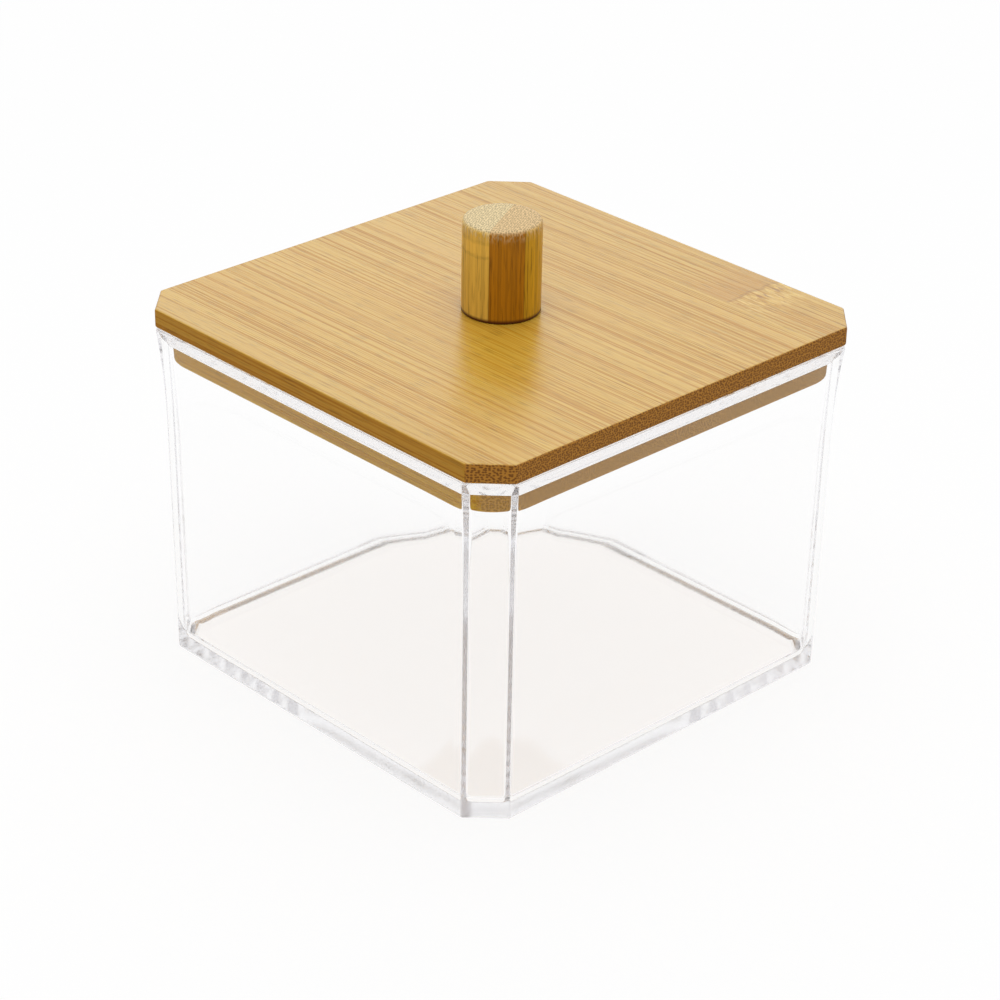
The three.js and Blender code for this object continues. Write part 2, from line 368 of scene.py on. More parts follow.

# %% [markdown]
# ## Clear plastic
# The tub is injection-moulded polystyrene, which is as clear as glass and bends light a bit
# more. A face-on pane shows almost nothing of itself. What shows the tub is its edges: light
# that enters a wall through its edge is mirrored along inside it, and comes out weaker and a
# little violet. So the colour can't be painted on. It is a volume that swallows a part of the
# light for each metre, which hardly counts through a wall of 3 mm, and counts for light that
# has gone a long way inside it.
# The photo's panes mirror less than this index alone would give. Specular Tint turns that
# weak mirroring down, and leaves the full mirroring inside a wall as it is. The floor looks a
# little warmer than the panes, because the lid's warm bounced light and shade fall on the
# white floor that is seen through it. That warmth is painted light: a warm tint on the level
# faces, which a number on each face, `level_face`, picks out.
# Lamps and soft bounced light pass straight through, by a Transparent shader, because noise
# and dark blotches would be the price of tracing them through every bend.

# %% Material: clear plastic
PLASTIC_IOR = 1.59
PLASTIC_ROUGHNESS = 0.035
PLASTIC_ABSORPTION = 0.55
PLASTIC_MIRRORING = (0.15, 0.15, 0.15, 1)
PLASTIC_WALL_TINT = (1, 1, 1, 1)
# Painted warm light and shade: the lid's warm bounce on the floor under the tub.
PLASTIC_FLOOR_PAINTED_WARM_LIGHT = (0.99, 0.967, 0.948, 1)
PLASTIC_INSIDE = (0.05, 0.0, 0.21, 1)
PLASTIC_LETS_THROUGH = (0.985, 0.97, 0.955, 1)


def new_material(name):
    """An empty node material and its tree."""
    material = bpy.data.materials.new(name)
    material.use_nodes = True
    material.node_tree.nodes.clear()
    return material, material.node_tree


def on_object(tree):
    """Where a point lies, in metres from the object's origin."""
    return put(tree, "ShaderNodeTexCoord").outputs["Object"]


def bump_from(tree, height, strength, distance):
    """A bumpy normal: a height of 1 stands for that distance in metres."""
    inputs = {"Height": height, "Strength": strength, "Distance": distance}
    return put(tree, "ShaderNodeBump", inputs).outputs[0]


def face_number(tree, name):
    """A number that the mesh carries on its faces."""
    return put(tree, "ShaderNodeAttribute", attribute_name=name).outputs["Fac"]


def build_clear_plastic():
    material, tree = new_material("clear plastic")
    # The level faces carry a warm tint, which is painted bounced light and shade from the lid.
    level = face_number(tree, "level_face")
    tint = blend_colour(tree, level, PLASTIC_WALL_TINT, PLASTIC_FLOOR_PAINTED_WARM_LIGHT)
    clear = put(
        tree,
        "ShaderNodeBsdfPrincipled",
        {
            "Base Color": tint,
            "Metallic": 0.0,
            "Transmission Weight": 1.0,
            "IOR": PLASTIC_IOR,
            "Specular Tint": PLASTIC_MIRRORING,
            "Roughness": PLASTIC_ROUGHNESS,
        },
    )
    open_air = put(tree, "ShaderNodeBsdfTransparent", {"Color": PLASTIC_LETS_THROUGH})
    path = put(tree, "ShaderNodeLightPath").outputs
    soft_ray = calc(tree, "MAXIMUM", path["Is Shadow Ray"], path["Is Diffuse Ray"])
    inputs = {0: soft_ray, 1: clear.outputs[0], 2: open_air.outputs[0]}
    surface = put(tree, "ShaderNodeMixShader", inputs).outputs[0]
    inputs = {"Color": PLASTIC_INSIDE, "Density": PLASTIC_ABSORPTION}
    body = put(tree, "ShaderNodeVolumeAbsorption", inputs).outputs[0]
    put(tree, "ShaderNodeOutputMaterial", {"Surface": surface, "Volume": body})
    return material


clear_plastic = build_clear_plastic()
print("Material made:", clear_plastic.name)

# %% [markdown]
# ## The tub
# The section runs from the middle of the underside, round the foot, up the leaning wall,
# out along the flare, over the rim, and down inside to the middle of the floor. The curves
# have many more steps than in the CAD model, because each flat step in clear plastic bends
# what is seen through it by a different amount.

# %% Section of the tub
FLARE_HEIGHT = 20.6 * MM
FLARE_RADIUS = 178 * MM
RIM_ROUND = 0.4 * MM
RIM_LAND = 1.26 * MM
MOUTH_SLOPE_DEPTH = 3.1 * MM
FLOOR_THICKNESS = 2.2 * MM
FLOOR_FILLET = 2.6 * MM
FOOT_ROUND = 1.1 * MM
OUTER_CORNER = 0.5 * MM
INNER_CORNER = 0.8 * MM
FLARE_TOP = TUB_HEIGHT - RIM_ROUND
FLARE_STEPS = 36
FOOT_STEPS = 8
RIM_STEPS = 6
FILLET_STEPS = 12
LEVEL_FACES = (0.98, 1.0)


def flare(height):
    """How far the wall has curved outwards at a height."""
    above = max(0.0, height - (TUB_HEIGHT - FLARE_HEIGHT))
    return FLARE_RADIUS - sqrt(FLARE_RADIUS**2 - above**2)


RIM_REACH = flare(FLARE_TOP)


def tub_section():
    """Outside from the middle of the foot to the rim, then the inside down to the floor."""
    rows = [(0, 0, OUTER_CORNER, 0, 0)]
    for rise, inset in quarter_round(FOOT_ROUND, FOOT_STEPS):
        rows.append((-inset, rise, OUTER_CORNER, 1, 0))
    flare_run = FLARE_HEIGHT - RIM_ROUND
    for step in range(FLARE_STEPS + 1):
        height = FLARE_TOP - (1 - step / FLARE_STEPS) * flare_run
        rows.append((flare(height), height, OUTER_CORNER, 1, 0))
    for rise, inset in reversed(quarter_round(RIM_ROUND, RIM_STEPS)[:-1]):
        rows.append((RIM_REACH - inset, TUB_HEIGHT - rise, OUTER_CORNER, 1, 0))
    rows.append((RIM_REACH - RIM_ROUND - RIM_LAND, TUB_HEIGHT, INNER_CORNER, 1, 0))
    rows.append((-WALL, TUB_HEIGHT - MOUTH_SLOPE_DEPTH, INNER_CORNER, 1, 1))
    for rise, inset in reversed(quarter_round(FLOOR_FILLET, FILLET_STEPS)):
        rows.append((-WALL - inset, FLOOR_THICKNESS + rise, INNER_CORNER, 1, 1))
    return rows + [(0, FLOOR_THICKNESS, INNER_CORNER, 0, 1)]


print("Points in the tub's section:", len(tub_section()))

# %% [markdown]
# Inside, the wall is a little thinner in the middle of each face than at its upright edges:
# the last centimetre of a pane's inner face turns inwards by up to two degrees, up to a
# narrow lip beside the edge, and the inner face of the cut corner is bowed too. Nobody sees
# the shape itself, but it bends the far floor edge into soft humps when it is looked at
# through the front corner. `bowed_ring` finds how far each ring point moves from the plain
# outline. The level faces that are marked at the end are both sides of the floor and the top
# of the rim.

# %% Ring with bowed inner faces
PANE_BOW = radians(2)
PANE_BOW_LENGTH = 8 * MM
PANE_LIP = 1.7 * MM
FACET_BOW = radians(3)
PANE_POINTS = 12
EDGE_POINTS = 10
FACET_POINTS = 6


def bowed_ring():
    """Ring points for half a corner, with the nudges that bow the inner faces."""
    run = INNER_CORNER * FACET_TANGENT
    flat = (CORNER_CUT - CUT_PER_REACH * WALL) * sqrt(2) - 2 * run
    pane_radius = PANE_BOW_LENGTH / sin(PANE_BOW)
    facet_radius = flat / 2 / sin(FACET_BOW)
    rows = []
    for i in range(PANE_POINTS + 1):
        turn = PANE_BOW * i / PANE_POINTS
        slide = PANE_LIP + PANE_BOW_LENGTH - pane_radius * sin(turn)
        rise = pane_radius * (cos(turn) - cos(PANE_BOW))
        rows.append((0, slide, 0, rise, 0))
    rows += plain_ring(EDGE_POINTS)
    for i in range(1, FACET_POINTS + 1):
        turn = FACET_BOW * (1 - i / FACET_POINTS)
        rise = facet_radius * (cos(turn) - cos(FACET_BOW)) * sqrt(0.5)
        share = 0.5 - facet_radius * sin(turn) / flat
        rows.append((EIGHTH, 0, share, rise, rise))
    return rows


tub_ring = bowed_ring()
print("A pane is thinner by", round(tub_ring[0][3] / MM, 2), "mm in its middle")

# %% Sweep the tub
tub = sweep(
    "clear_plastic_tub", tub_section(), tub_ring, clear_plastic, TUB_FOOT_SIDE, WALL_LEAN
)
mark_faces(tub, "level_face", 2, soft=LEVEL_FACES)

# %% [markdown]
# ## Bamboo
# A bamboo board is glued up from narrow strips, and each strip is full of fine fibres that run
# its whole length. On a long face they show as straight lines, some pale and some browner. On
# an end they show as dark dots. One solid pattern gives both: cells and noise that are about
# half a millimetre across and many centimetres long, cut by whatever face shows. Each noise
# below has its width, its length along the grain and its detail. The pattern is a node group,
# because the boards and the knob use it with other strips and tones. Its grain runs along Y,
# so the knob turns its coordinates before they go in.

# %% Node group: bamboo fibre
FIBRE_PARTS = ("Lines", "Bands", "Clouds", "Pores", "Strip Tone", "Seam", "Dots", "Height")
FINE_GRAIN = (0.36 * MM, 120 * MM, 1.5)
MEDIUM_GRAIN = (1.0 * MM, 200 * MM, 1.5)
CLOUD_GRAIN = (4.5 * MM, 50 * MM, 1.0)
PORE_GRAIN = (0.28 * MM, 4.5 * MM, 0.0)
GRAIN_ROUGHNESS = 0.55
BUNDLE_WIDTH = 0.46 * MM
BUNDLE_SCATTER = 0.65
SEAM_EDGE = 0.14 * MM
SEAM_CORE = 0.02 * MM
SEED_STEP = 7.31


def stretched(tree, place, across, along):
    """The place measured in pattern sizes, so that one unit is one pattern cell."""
    inputs = {0: place, 1: (across, along, across)}
    return put(tree, "ShaderNodeVectorMath", inputs, operation="DIVIDE").outputs[0]


def grain_noise(tree, place, across, along, detail):
    """Noise with cells of that width and length, the length along the grain."""
    vector = stretched(tree, place, across, along)
    inputs = {"Vector": vector, "Scale": 1.0, "Detail": detail, "Roughness": GRAIN_ROUGHNESS}
    return put(tree, "ShaderNodeTexNoise", inputs).outputs[0]


def fibre_cells(tree, place, width):
    """Distance to the nearest fibre bundle, seen across the grain, in cell widths."""
    parts = split(tree, place)
    inputs = {"Vector": join(tree, parts[0], parts[2], 0.0), "Scale": 1 / width}
    inputs["Randomness"] = BUNDLE_SCATTER
    cells = put(tree, "ShaderNodeTexVoronoi", inputs, voronoi_dimensions="2D", feature="F1")
    return cells.outputs["Distance"]


def build_bamboo_fibre():
    """Parts from 0 to 1 of a bamboo pattern, which each material weighs in its own way."""
    tree = bpy.data.node_groups.new("Bamboo fibre", "ShaderNodeTree")
    tree_socket(tree, "Place", "NodeSocketVector")
    tree_socket(tree, "Strip Width", "NodeSocketFloat", default=0.02)
    tree_socket(tree, "Strip Start", "NodeSocketFloat", default=0.0)
    tree_socket(tree, "Strip Seed", "NodeSocketFloat", default=1.0)
    for name in FIBRE_PARTS:
        tree_socket(tree, name, "NodeSocketFloat", "OUTPUT")
    given = put(tree, "NodeGroupInput").outputs
    across = split(tree, given["Place"])[0]
    from_start = calc(tree, "SUBTRACT", across, given["Strip Start"])
    strip_place = calc(tree, "DIVIDE", from_start, given["Strip Width"])
    strip = calc(tree, "FLOOR", strip_place)
    strip_seed = calc(tree, "MULTIPLY_ADD", strip, SEED_STEP, given["Strip Seed"])
    tone = put(tree, "ShaderNodeTexWhiteNoise", {"W": strip_seed}, noise_dimensions="1D")
    # Each strip was a different piece of cane, so its pattern is moved along and up.
    inputs = {0: given["Place"], 1: join(tree, 0.0, strip_seed, strip_seed)}
    place = put(tree, "ShaderNodeVectorMath", inputs, operation="ADD").outputs[0]
    dots = fit(tree, fibre_cells(tree, place, BUNDLE_WIDTH), 0.50, 0.24)
    in_strip = calc(tree, "FRACT", strip_place)
    to_seam = calc(tree, "MINIMUM", in_strip, calc(tree, "SUBTRACT", 1.0, in_strip))
    seam_distance = calc(tree, "MULTIPLY", to_seam, given["Strip Width"])
    seam = fit(tree, seam_distance, SEAM_EDGE, SEAM_CORE)
    lines = fit(tree, grain_noise(tree, place, *FINE_GRAIN), 0.44, 0.66)
    # Lines, dots and seams lie a little lower than the rest.
    raised = calc(tree, "MULTIPLY_ADD", lines, -0.6, calc(tree, "MULTIPLY", dots, -0.4))
    outputs = {
        "Lines": lines,
        "Bands": fit(tree, grain_noise(tree, place, *MEDIUM_GRAIN), 0.30, 0.70),
        "Clouds": fit(tree, grain_noise(tree, place, *CLOUD_GRAIN), 0.40, 0.68),
        "Pores": fit(tree, grain_noise(tree, place, *PORE_GRAIN), 0.54, 0.80),
        "Strip Tone": tone.outputs[0],
        "Seam": seam,
        "Dots": dots,
        "Height": calc(tree, "MULTIPLY_ADD", seam, -1.0, raised),
    }
    put(tree, "NodeGroupOutput", outputs)
    return tree


bamboo_fibre = build_bamboo_fibre()
print("Node group made:", bamboo_fibre.name)

# %% [markdown]
# ## Bamboo for the boards
# Sanded bamboo under a thin lacquer is pale honey on its long faces, with creamy and pinkish
# bands. End grain drinks the lacquer and goes darker, with brown dots. Which face is an end
# is a fact about the mesh, so each face carries a number, `end_grain`, and the material only
# reads it. In the same way `flat_face` says where the lacquer lies. One strip of the top face
# has a node of the cane in it: a thin brown line across, with a browner patch on one side and
# broken dashes on the other. The lower board was cut from another panel, so it shows another
# part of the pattern, and its edges took up less lacquer and are paler. Three recipes say how
# much of each part of the pattern goes into the paleness, the brightness and the gloss.

# %% Material: bamboo board
PALE_FIBRE = (0.600, 0.370, 0.044, 1)
BROWN_FIBRE = (0.43, 0.197, 0.002, 1)
PINKISH = (0.54, 0.26, 0.020, 1)
# Partly the sawn sides' amber colour, partly painted shade that makes them darker than the top.
SAWN_TINT = (0.76, 0.63, 0.55, 1)
BOARD_END = (0.395, 0.17, 0.022, 1)
BOARD_DOT = (0.105, 0.032, 0.004, 1)
NODE_BROWN = (0.28, 0.11, 0.008, 1)
NODE_PALE = (0.78, 0.54, 0.14, 1)
NODE_SHADE = (0.48, 0.235, 0.022, 1)
NODE_STRIP_START = 35 * MM
NODE_PLACE = -26.8 * MM
NODE_WANDER = 3.6 * MM
NODE_WANDER_GRAIN = (4 * MM, 20 * MM, 2.0)
NODE_DASH_GRAIN = (0.7 * MM, 3.5 * MM, 2.0)
NODE_DARK_DASH_GRAIN = (0.6 * MM, 2.8 * MM, 1.0)
LOWER_BOARD_SHIFT = (13.7 * MM, 310 * MM, 0.0)
LOWER_BOARD_END = (0.53, 0.30, 0.072, 1)
LOWER_BOARD_SAWN_TINT = (1.02, 1.0, 0.58, 1)
LOWER_BOARD_DOT_LOSS = 0.35
BOARD_DOT_SHARE = 0.8
BOARD_CLOUD_SHARE = 0.18
BOARD_STRIPS = (20 * MM, -5 * MM, 3.0)
BOARD_PALE_RECIPE = (0.75, ("Lines", -0.85), ("Bands", 0.22))
BOARD_BRIGHT_RECIPE = (0.985, ("Strip Tone", 0.04), ("Pores", -0.22), ("Seam", -0.12))
BOARD_GLOSS_RECIPE = (1.0, ("Lines", -0.27))
HAIR = 0.05 * MM


def fibre_node(tree, place, strips):
    """The bamboo fibre group with a piece's strips: their width, start and seed."""
    node = put(tree, "ShaderNodeGroup", node_tree=bamboo_fibre)
    tree.links.new(place, node.inputs["Place"])
    for name, value in zip(("Strip Width", "Strip Start", "Strip Seed"), strips):
        node.inputs[name].default_value = value
    return node.outputs


def follow(tree, fibre, recipe):
    """A recipe's first number, plus a share of each part of the pattern that it names."""
    total = recipe[0]
    for part, share in recipe[1:]:
        total = calc(tree, "MULTIPLY_ADD", fibre[part], share, total)
    return total


def times(tree, colour, brightness):
    """A colour made darker or brighter by a number."""
    grey = put(tree, "ShaderNodeCombineColor", {0: brightness, 1: brightness, 2: brightness})
    return blend_colour(tree, 1.0, colour, grey.outputs[0], "MULTIPLY")


def add_cane_node(tree, place, shown, colour):
    """Paints the cane's node over a colour: a brown line, a patch above and dashes below."""
    parts = split(tree, place)
    in_strip = calc(tree, "GREATER_THAN", parts[0], NODE_STRIP_START)
    in_strip = calc(tree, "MULTIPLY", in_strip, shown)
    wander = grain_noise(tree, place, *NODE_WANDER_GRAIN)
    wandering = calc(tree, "MULTIPLY_ADD", wander, NODE_WANDER, parts[1])
    along = calc(tree, "SUBTRACT", wandering, NODE_PLACE + NODE_WANDER / 2)
    line = fit(tree, calc(tree, "ABSOLUTE", along), 0.7 * MM, 0.1 * MM)
    above = product(tree, fit(tree, along, 0.0, 1 * MM), fit(tree, along, 16 * MM, 2 * MM))
    below = product(tree, fit(tree, along, 0.0, -1 * MM), fit(tree, along, -13 * MM, -4 * MM))
    dashes = fit(tree, grain_noise(tree, place, *NODE_DASH_GRAIN), 0.46, 0.60)
    dark_dashes = fit(tree, grain_noise(tree, place, *NODE_DARK_DASH_GRAIN), 0.42, 0.30)
    for mask, share, paint in (
        (above, 0.6, NODE_SHADE),
        (product(tree, dashes, below), 0.65, NODE_PALE),
        (product(tree, dark_dashes, below), 0.7, NODE_BROWN),
        (line, 0.4, NODE_BROWN),
    ):
        colour = blend_colour(tree, product(tree, mask, in_strip, share), colour, paint)
    return colour


def build_bamboo_board():
    material, tree = new_material("bamboo board")
    place = on_object(tree)
    # The lower board is whatever lies below the rim, and its pattern is moved along.
    lower = calc(tree, "LESS_THAN", split(tree, place)[2], TUB_HEIGHT - HAIR)
    inputs = {0: LOWER_BOARD_SHIFT, "Scale": lower}
    shift = put(tree, "ShaderNodeVectorMath", inputs, operation="SCALE").outputs[0]
    moved = put(tree, "ShaderNodeVectorMath", {0: place, 1: shift}, operation="ADD").outputs[0]
    fibre = fibre_node(tree, moved, BOARD_STRIPS)
    pale_share = follow(tree, fibre, BOARD_PALE_RECIPE)
    colour = blend_colour(tree, pale_share, BROWN_FIBRE, PALE_FIBRE)
    cloudy = calc(tree, "MULTIPLY", fibre["Clouds"], BOARD_CLOUD_SHARE)
    colour = blend_colour(tree, cloudy, colour, PINKISH)
    lacquer = face_number(tree, "flat_face")
    on_top = calc(tree, "MULTIPLY", lacquer, calc(tree, "SUBTRACT", 1.0, lower))
    colour = add_cane_node(tree, place, on_top, colour)
    # The lacquer lies on the flat faces. Sawn edges soak it up and go amber. The top board's
    # tint also makes its sides darker than its top, and that darkening is painted shade.
    long_face = times(tree, colour, follow(tree, fibre, BOARD_BRIGHT_RECIPE))
    sawn_tint = blend_colour(tree, lower, SAWN_TINT, LOWER_BOARD_SAWN_TINT)
    sawn = blend_colour(tree, 1.0, long_face, sawn_tint, "MULTIPLY")
    long_face = blend_colour(tree, lacquer, sawn, long_face)
    end_colour = blend_colour(tree, lower, BOARD_END, LOWER_BOARD_END)
    dot_share = calc(tree, "MULTIPLY_ADD", lower, -LOWER_BOARD_DOT_LOSS, BOARD_DOT_SHARE)
    dots = calc(tree, "MULTIPLY", fibre["Dots"], dot_share)
    end_face = blend_colour(tree, dots, end_colour, BOARD_DOT)
    base = blend_colour(tree, face_number(tree, "end_grain"), long_face, end_face)
    gloss = follow(tree, fibre, BOARD_GLOSS_RECIPE)
    bump = bump_from(tree, fibre["Height"], strength=0.35, distance=0.06 * MM)
    finish = put(
        tree,
        "ShaderNodeBsdfPrincipled",
        {
            "Base Color": base,
            "Roughness": 0.6,
            "Specular IOR Level": 0.12,
            "Coat Weight": calc(tree, "MULTIPLY", lacquer, gloss),
            "Coat Roughness": 0.24,
            "Coat IOR": 1.5,
            "Normal": bump,
            "Coat Normal": bump,
        },
    )
    put(tree, "ShaderNodeOutputMaterial", {"Surface": finish.outputs[0]})
    return material


bamboo_board = build_bamboo_board()
print("Material made:", bamboo_board.name)

# %% [markdown]
# ## Bamboo for the knob
# The knob is turned from a block of thicker strips, glued face to face, so its sides show
# broad stripes of different tones: a pale one, a dark orange one and a golden one. Its grain
# runs up, and its top is end grain, sanded pale. The pale stripe has a few level lines where
# a node of the cane was turned away, and one upright scratch. A thin dark ring at the foot is
# painted shade, where the knob meets the lid.

# %% Material: bamboo knob
KNOB_STRIP_TURN = radians(28)
KNOB_STRIP_WIDTH = 6.1 * MM
KNOB_STRIPS = (KNOB_STRIP_WIDTH, 0.0, 5.0)
KNOB_PALE = (0.70, 0.42, 0.065, 1)
KNOB_DARK = (0.40, 0.155, 0.003, 1)
KNOB_GOLDEN = (0.58, 0.31, 0.014, 1)
KNOB_END_CREAM = (0.75, 0.60, 0.34, 1)
KNOB_END_PINK = (0.71, 0.51, 0.265, 1)
# Painted shade: the colour of the thin dark ring where the knob meets the lid.
KNOB_FOOT_PAINTED_SHADE = (0.085, 0.018, 0.001, 1)
KNOB_NODE_LINES = (
    (89.9 * MM, 1.6 * MM, 0.12),
    (88.3 * MM, 0.5 * MM, -0.13),
    (91.2 * MM, 0.6 * MM, -0.08),
)
KNOB_LINE_GRAIN = (2 * MM, 2 * MM, 2.0)
KNOB_LINE_WANDER = 1.6 * MM
KNOB_FRAY_GRAIN = (0.35 * MM, 1.1 * MM, 1.0)
KNOB_FRAY_SHARE = 0.55
KNOB_SCRATCH_X = 0.4 * MM
KNOB_SCRATCH_FOOT = 84 * MM
KNOB_SCRATCH_TOP = 90.5 * MM
KNOB_SCRATCH_CHANGE = -0.4
KNOB_BRIGHT_RECIPE = (1.06, ("Lines", -0.26), ("Bands", 0.14), ("Pores", -0.3), ("Seam", -0.3))
KNOB_END_RECIPE = (1.06, ("Dots", -0.5))


def knob_marks(tree, place, pale_side):
    """What the cane's node and a scratch add to the brightness of the knob's side."""
    x, y, z = split(tree, place)
    wander = grain_noise(tree, place, *KNOB_LINE_GRAIN)
    wander = calc(tree, "MULTIPLY_ADD", wander, KNOB_LINE_WANDER, -KNOB_LINE_WANDER / 2)
    height = calc(tree, "ADD", z, wander)
    total = 0.0
    for middle, half_width, change in KNOB_NODE_LINES:
        from_line = calc(tree, "ABSOLUTE", calc(tree, "SUBTRACT", height, middle))
        line = fit(tree, from_line, half_width, half_width * 0.3)
        total = calc(tree, "MULTIPLY_ADD", line, change, total)
    # The node's lines are on the pale stripe, and run out towards the back of the knob.
    towards_front = fit(tree, calc(tree, "ADD", x, y), 4 * MM, -1 * MM)
    total = product(tree, total, pale_side, towards_front)
    from_scratch = calc(tree, "ABSOLUTE", calc(tree, "SUBTRACT", x, KNOB_SCRATCH_X))
    scratch = product(
        tree,
        fit(tree, from_scratch, 0.22 * MM, 0.06 * MM),
        calc(tree, "LESS_THAN", y, 0.0),
        fit(tree, z, KNOB_SCRATCH_FOOT, KNOB_SCRATCH_FOOT + 2 * MM),
        fit(tree, z, KNOB_SCRATCH_TOP, KNOB_SCRATCH_TOP - 1 * MM),
    )
    return calc(tree, "MULTIPLY_ADD", scratch, KNOB_SCRATCH_CHANGE, total)


def build_bamboo_knob():
    material, tree = new_material("bamboo knob")
    place = on_object(tree)
    inputs = {"Vector": place, "Angle": pi / 2 - KNOB_STRIP_TURN}
    turned_place = put(tree, "ShaderNodeVectorRotate", inputs, rotation_type="Z_AXIS").outputs[0]
    across, behind, height = split(tree, turned_place)
    upended = join(tree, across, height, behind)
    fibre = fibre_node(tree, upended, KNOB_STRIPS)
    dark_side = fit(tree, across, -HAIR, HAIR)
    golden_side = fit(tree, across, KNOB_STRIP_WIDTH - HAIR, KNOB_STRIP_WIDTH + HAIR)
    colour = blend_colour(tree, dark_side, KNOB_PALE, KNOB_DARK)
    colour = blend_colour(tree, golden_side, colour, KNOB_GOLDEN)
    brightness = follow(tree, fibre, KNOB_BRIGHT_RECIPE)
    marks = knob_marks(tree, place, calc(tree, "SUBTRACT", 1.0, dark_side))
    brightness = calc(tree, "ADD", brightness, marks)
    long_face = times(tree, colour, brightness)
    end_face = blend_colour(tree, dark_side, KNOB_END_CREAM, KNOB_END_PINK)
    end_face = times(tree, end_face, follow(tree, fibre, KNOB_END_RECIPE))
    end_share = face_number(tree, "end_grain")
    # Sanding has frayed the fibres just below the top edge, so they look pale and speckled.
    near_top = fit(tree, height, KNOB_TOP - 2.8 * MM, KNOB_TOP - 0.8 * MM)
    specks = fit(tree, grain_noise(tree, upended, *KNOB_FRAY_GRAIN), 0.42, 0.60)
    frayed = product(tree, near_top, specks, KNOB_FRAY_SHARE)
    pale_share = calc(tree, "MAXIMUM", frayed, end_share)
    base = blend_colour(tree, pale_share, long_face, end_face)
    # Painted shade: a thin dark ring at the foot, where the knob stands on the lid.
    foot_painted_shade = fit(tree, height, LID_TOP + 1.1 * MM, LID_TOP + 0.3 * MM)
    base = blend_colour(tree, foot_painted_shade, base, KNOB_FOOT_PAINTED_SHADE)
    bump = bump_from(tree, fibre["Height"], strength=0.4, distance=0.08 * MM)
    roughness = calc(tree, "MULTIPLY_ADD", end_share, 0.3, 0.36)
    inputs = {"Base Color": base, "Roughness": roughness, "Normal": bump}
    inputs["Specular IOR Level"] = 0.2
    lacquered = put(tree, "ShaderNodeBsdfPrincipled", inputs)
    put(tree, "ShaderNodeOutputMaterial", {"Surface": lacquered.outputs[0]})
    return material


bamboo_knob = build_bamboo_knob()
print("Material made:", bamboo_knob.name)

# %% [markdown]
# ## Zinc-plated steel
# The screw is plated steel wire: a grey metal that is rather dull, a little uneven, and has a
# few darker smudges.

# %% Material: screw steel
STEEL = (0.56, 0.57, 0.59, 1)
STEEL_DULL = (0.40, 0.40, 0.41, 1)
SMUDGE_SCALE = 700.0
STEEL_GRAIN = (4 * MM, 4 * MM, 2.0)


def build_screw_steel():
    material, tree = new_material("screw steel")
    place = on_object(tree)
    inputs = {"Vector": place, "Scale": SMUDGE_SCALE, "Detail": 3.0}
    smudge = put(tree, "ShaderNodeTexNoise", inputs).outputs[0]
    uneven = grain_noise(tree, place, *STEEL_GRAIN)
    colour = blend_colour(tree, fit(tree, smudge, 0.45, 0.75), STEEL, STEEL_DULL)
    roughness = fit(tree, smudge, 0.3, 0.8, 0.3, 0.5)
    bump = bump_from(tree, uneven, strength=0.2, distance=0.03 * MM)
    inputs = {"Base Color": colour, "Metallic": 1.0, "Roughness": roughness, "Normal": bump}
    plated = put(tree, "ShaderNodeBsdfPrincipled", inputs)
    put(tree, "ShaderNodeOutputMaterial", {"Surface": plated.outputs[0]})
    return material


screw_steel = build_screw_steel()
print("Material made:", screw_steel.name)

# %% [markdown]
# ## Turned pieces
# The knob, the screw's body and the tools that cut the screw's holes are round about one
# axis. A lathe is the way to think of them: a list of radius and height, turned about Z.


# %% Helpers for turned pieces and holes
def turned(name, profile, sides, material):
    """A solid from (radius, height) points that start and end on the axis."""
    mesh = bpy.data.meshes.new(name)
    angles = [2 * pi * side / sides for side in range(sides)]
    verts = [(r * cos(a), r * sin(a), z) for r, z in profile for a in angles]
    faces = []
    for level in range(len(profile) - 1):
        for side in range(sides):
            a = level * sides + side
            b = level * sides + (side + 1) % sides
            faces.append((a, b, b + sides, a + sides))
    mesh.from_pydata(verts, [], faces)
    mesh.materials.append(material)
    piece = new_piece(name, mesh)
    face_outwards(mesh)
    return piece


def cut_away(piece, tool):
    """Takes the tool's shape out of a piece, and removes the tool."""
    modifier = piece.modifiers.new("cut", "BOOLEAN")
    modifier.operation = "DIFFERENCE"
    modifier.solver = "EXACT"
    modifier.object = tool
    settle(piece)
    bpy.data.objects.remove(tool)


print("Helpers ready")

# %% [markdown]
# ## The lid's two boards
# The top board is 4 mm thick with small rounds, and stops a hair inside the tub's rim. The
# lower board is thicker, stands clear of the tub's inside, and has large rounds on its upright
# corners so that it drops in easily. Both are drilled for the screw, and the lower one is
# countersunk for its head.

# %% Make the boards
SCREW_HEAD_RADIUS = 7 / 2 * MM
SCREW_HEAD_RIM = 0.4 * MM
CUT_PAST = 0.5 * MM
ROUND_STEPS = 6
SCREW_SIDES = 48
END_FACES = (0.4, 0.6)


def board_section(bottom, thickness, corner, under_round, top_round):
    """A board's section from the middle of its underside to the middle of its top."""
    rows = [(0, bottom, corner, 0, 0)]
    for rise, inset in quarter_round(under_round, ROUND_STEPS):
        rows.append((-inset, bottom + rise, corner, 1, 0))
    top = bottom + thickness
    for rise, inset in reversed(quarter_round(top_round, ROUND_STEPS)):
        rows.append((-inset, top - rise, corner, 1, 0))
    return rows + [(0, top, corner, 0, 0)]


def screw_passage():
    """The tool that drills both boards and countersinks the lower one."""
    head = SCREW_HEAD_RADIUS + SEAT_GAP
    bore = SCREW_THREAD_RADIUS + SEAT_GAP
    cone = SCREW_FACE + SCREW_HEAD_RIM
    low = PLUG_FOOT - CUT_PAST
    high = LID_TOP + CUT_PAST
    profile = [(0, low), (head, low), (head, cone), (bore, cone + head - bore)]
    profile += [(bore, high), (0, high)]
    return turned("passage", profile, SCREW_SIDES, bamboo_board)


